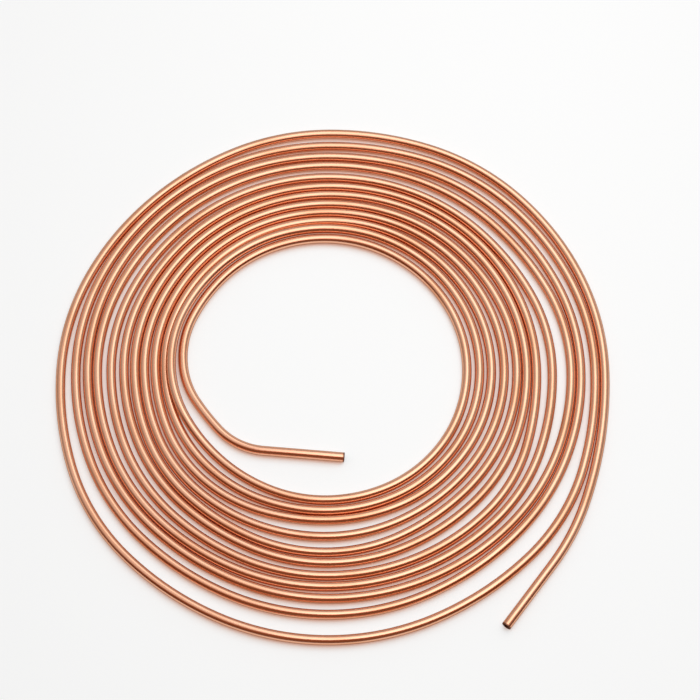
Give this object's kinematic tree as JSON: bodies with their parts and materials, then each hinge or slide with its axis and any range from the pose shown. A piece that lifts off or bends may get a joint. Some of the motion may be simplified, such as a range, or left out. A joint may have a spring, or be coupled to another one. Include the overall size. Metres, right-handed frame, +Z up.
{
  "type": "copper tube coil",
  "caption": "Flat, loosely wound coil of thin round copper tube, with one end bent across the eye and one end sprung off outside.",
  "frame": {"origin": "centre of the coil's footprint on the floor it lies on", "axes": "+Z up through the flat coil, -Y towards the side where the outer end points, +X to the right seen from there"},
  "size_m": [0.2766, 0.2784, 0.0083],
  "materials": {
    "copper": "satin"
  },
  "bodies": {
    "root": {"copper_tube": "copper"}
  },
  "joints": []
}
